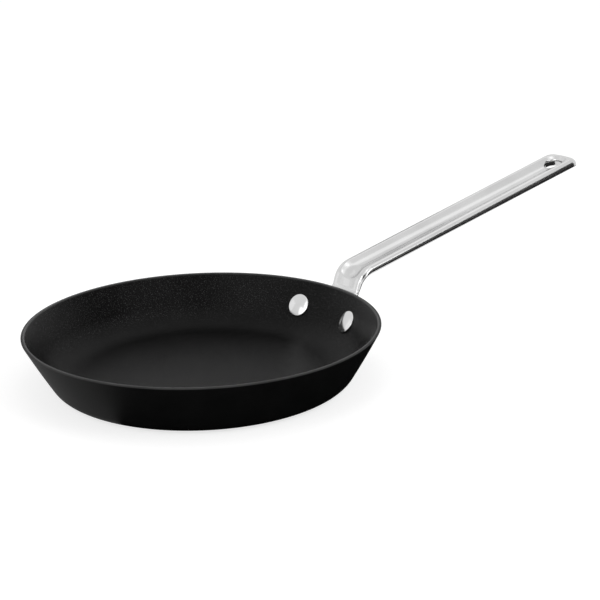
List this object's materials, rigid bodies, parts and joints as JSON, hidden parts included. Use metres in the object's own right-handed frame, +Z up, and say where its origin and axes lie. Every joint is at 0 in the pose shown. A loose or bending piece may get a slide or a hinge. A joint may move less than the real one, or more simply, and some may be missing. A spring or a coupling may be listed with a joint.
{
  "type": "omelette pan",
  "caption": "Shallow round frying pan with flared wall, dark non-stick coating, plate base and long riveted cast steel handle with trough and hang hole",
  "frame": {"origin": "centre of the underside, on the surface the pan stands on", "axes": "+Z up out of the bowl, +X along the handle away from the pan, +Y to the left of the handle seen from the pan"},
  "size_m": [0.4037, 0.2034, 0.0813],
  "materials": {
    "coated_aluminium": "satin",
    "base_steel": "satin",
    "handle_steel": "polished",
    "rivet_steel": "polished"
  },
  "bodies": {
    "root": {"pan_body": "coated_aluminium", "base_disc": "base_steel", "handle": "handle_steel", "rivet_left": "rivet_steel", "rivet_right": "rivet_steel"}
  },
  "joints": []
}
